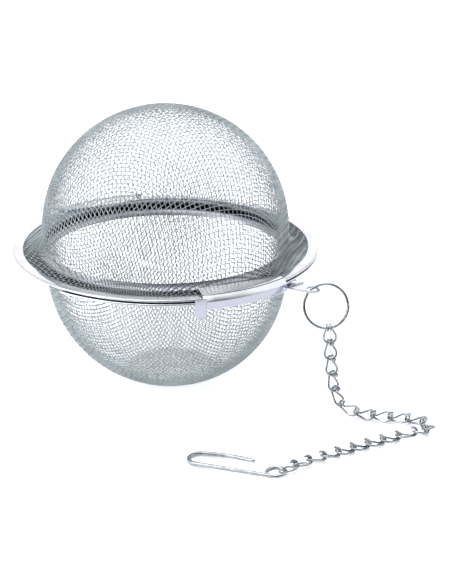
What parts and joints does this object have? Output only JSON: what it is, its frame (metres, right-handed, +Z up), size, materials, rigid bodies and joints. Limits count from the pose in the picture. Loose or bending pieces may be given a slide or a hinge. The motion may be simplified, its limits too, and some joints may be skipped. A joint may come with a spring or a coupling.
{
  "type": "tea infuser",
  "caption": "Round mesh tea ball in two woven stainless steel halves that twist-lock at flat rims, with a jump ring, link chain and wire hook.",
  "frame": {"origin": "centre of the ball's flat underside, on the surface that it stands on", "axes": "+Z up the ball's axis, -Y the front with the lock clip, +X the side with the lug and the chain"},
  "size_m": [0.0931, 0.0953, 0.0635],
  "materials": {
    "polished_sheet": "polished stainless steel sheet",
    "woven_steel": "plain-woven stainless steel wire cloth",
    "drawn_wire": "bright drawn stainless steel wire"
  },
  "bodies": {
    "lower_half": {"lower_mesh_bowl": "woven_steel", "lower_rim": "polished_sheet", "chain_lug": "polished_sheet"},
    "upper_half": {"upper_mesh_dome": "woven_steel", "upper_rim": "polished_sheet", "lock_clip_front": "polished_sheet", "lock_clip_back": "polished_sheet"},
    "jump_ring": {"jump_ring": "drawn_wire"},
    "chain_link_01": {"chain_link_01": "drawn_wire"},
    "chain_link_02": {"chain_link_02": "drawn_wire"},
    "chain_link_03": {"chain_link_03": "drawn_wire"},
    "chain_link_04": {"chain_link_04": "drawn_wire"},
    "chain_link_05": {"chain_link_05": "drawn_wire"},
    "chain_link_06": {"chain_link_06": "drawn_wire"},
    "chain_link_07": {"chain_link_07": "drawn_wire"},
    "chain_link_08": {"chain_link_08": "drawn_wire"},
    "chain_link_09": {"chain_link_09": "drawn_wire"},
    "chain_link_10": {"chain_link_10": "drawn_wire"},
    "chain_link_11": {"chain_link_11": "drawn_wire"},
    "chain_link_12": {"chain_link_12": "drawn_wire"},
    "chain_link_13": {"chain_link_13": "drawn_wire"},
    "chain_link_14": {"chain_link_14": "drawn_wire"},
    "chain_link_15": {"chain_link_15": "drawn_wire"},
    "chain_link_16": {"chain_link_16": "drawn_wire"},
    "chain_link_17": {"chain_link_17": "drawn_wire"},
    "chain_link_18": {"chain_link_18": "drawn_wire"},
    "chain_link_19": {"chain_link_19": "drawn_wire"},
    "chain_link_20": {"chain_link_20": "drawn_wire"},
    "chain_link_21": {"chain_link_21": "drawn_wire"},
    "hang_hook": {"hang_hook": "drawn_wire"}
  },
  "joints": [
    {"name": "ball_twist_lock", "type": "hinge", "parent": "lower_half", "child": "upper_half", "pos_m": [0, 0, 0.0303], "axis": [0, 0, 1], "range_deg": [-90, 0]},
    {"name": "jump_ring_swing", "type": "hinge", "parent": "lower_half", "child": "jump_ring", "pos_m": [0.03138, -0.02475, 0.029], "axis": [0, -0.9336, 0.3584], "range_deg": [-8, 30]},
    {"name": "link_01_swing", "type": "hinge", "parent": "jump_ring", "child": "chain_link_01", "pos_m": [0.03521, -0.02807, 0.02126], "axis": [0.9925, 0.0437, 0.1138], "range_deg": [-30, 30]},
    {"name": "link_02_swing", "type": "hinge", "parent": "chain_link_01", "child": "chain_link_02", "pos_m": [0.03559, -0.02767, 0.01747], "axis": [-0.997, 0.0049, -0.0775], "range_deg": [-30, 30]},
    {"name": "link_03_swing", "type": "hinge", "parent": "chain_link_02", "child": "chain_link_03", "pos_m": [0.03593, -0.02774, 0.01365], "axis": [0.9674, 0.2298, 0.1064], "range_deg": [-30, 30]},
    {"name": "link_04_swing", "type": "hinge", "parent": "chain_link_03", "child": "chain_link_04", "pos_m": [0.03637, -0.02765, 0.00985], "axis": [-0.8847, -0.4482, -0.128], "range_deg": [-30, 30]},
    {"name": "link_05_swing", "type": "hinge", "parent": "chain_link_04", "child": "chain_link_05", "pos_m": [0.03704, -0.02743, 0.0061], "axis": [0.706, 0.6577, 0.2627], "range_deg": [-30, 30]},
    {"name": "link_06_swing", "type": "hinge", "parent": "chain_link_05", "child": "chain_link_06", "pos_m": [0.03871, -0.02766, 0.00266], "axis": [-0.5198, -0.8144, -0.2582], "range_deg": [-30, 30]},
    {"name": "link_07_swing", "type": "hinge", "parent": "chain_link_06", "child": "chain_link_07", "pos_m": [0.04203, -0.02921, 0.00155], "axis": [0.4266, 0.7757, 0.4651], "range_deg": [-30, 30]},
    {"name": "link_08_swing", "type": "hinge", "parent": "chain_link_07", "child": "chain_link_08", "pos_m": [0.0455, -0.03078, 0.00165], "axis": [-0.2272, -0.8461, -0.4822], "range_deg": [-30, 30]},
    {"name": "link_09_swing", "type": "hinge", "parent": "chain_link_08", "child": "chain_link_09", "pos_m": [0.04923, -0.03161, 0.00153], "axis": [0.1664, 0.8524, 0.4957], "range_deg": [-30, 30]},
    {"name": "link_10_swing", "type": "hinge", "parent": "chain_link_09", "child": "chain_link_10", "pos_m": [0.05295, -0.0325, 0.00148], "axis": [-0.2916, -0.8874, -0.3572], "range_deg": [-30, 30]},
    {"name": "link_11_swing", "type": "hinge", "parent": "chain_link_10", "child": "chain_link_11", "pos_m": [0.05573, -0.0346, 0.00132], "axis": [0.9008, 0.3008, 0.313], "range_deg": [-30, 30]},
    {"name": "link_12_swing", "type": "hinge", "parent": "chain_link_11", "child": "chain_link_12", "pos_m": [0.05558, -0.03805, 0.0014], "axis": [-0.7453, 0.5732, -0.3404], "range_deg": [-30, 30]},
    {"name": "link_13_swing", "type": "hinge", "parent": "chain_link_12", "child": "chain_link_13", "pos_m": [0.05258, -0.03995, 0.0019], "axis": [0.1052, -0.9089, 0.4035], "range_deg": [-30, 30]},
    {"name": "link_14_swing", "type": "hinge", "parent": "chain_link_13", "child": "chain_link_14", "pos_m": [0.04893, -0.04093, 0.00139], "axis": [-0.3651, 0.9167, -0.1627], "range_deg": [-30, 30]},
    {"name": "link_15_swing", "type": "hinge", "parent": "chain_link_14", "child": "chain_link_15", "pos_m": [0.04544, -0.04248, 0.00134], "axis": [0.4584, -0.8884, -0.0238], "range_deg": [-30, 30]},
    {"name": "link_16_swing", "type": "hinge", "parent": "chain_link_15", "child": "chain_link_16", "pos_m": [0.04205, -0.04426, 0.00135], "axis": [-0.4768, 0.879, 0.0054], "range_deg": [-30, 30]},
    {"name": "link_17_swing", "type": "hinge", "parent": "chain_link_16", "child": "chain_link_17", "pos_m": [0.03869, -0.0461, 0.00136], "axis": [0.4849, -0.8746, -0.0024], "range_deg": [-30, 30]},
    {"name": "link_18_swing", "type": "hinge", "parent": "chain_link_17", "child": "chain_link_18", "pos_m": [0.03535, -0.04798, 0.00139], "axis": [-0.5001, 0.866, 0.0047], "range_deg": [-30, 30]},
    {"name": "link_19_swing", "type": "hinge", "parent": "chain_link_18", "child": "chain_link_19", "pos_m": [0.03207, -0.04994, 0.00149], "axis": [0.5289, -0.8227, 0.2085], "range_deg": [-30, 30]},
    {"name": "link_20_swing", "type": "hinge", "parent": "chain_link_19", "child": "chain_link_20", "pos_m": [0.02889, -0.05207, 0.00164], "axis": [-0.5558, 0.7267, -0.4038], "range_deg": [-30, 30]},
    {"name": "link_21_swing", "type": "hinge", "parent": "chain_link_20", "child": "chain_link_21", "pos_m": [0.02582, -0.05436, 0.00177], "axis": [0.5007, -0.627, 0.5969], "range_deg": [-30, 30]},
    {"name": "hook_swing", "type": "hinge", "parent": "chain_link_21", "child": "hang_hook", "pos_m": [0.02204, -0.05713, 0.0016], "axis": [-0.0484, 0.0247, 0.9985], "range_deg": [-60, 80]}
  ]
}
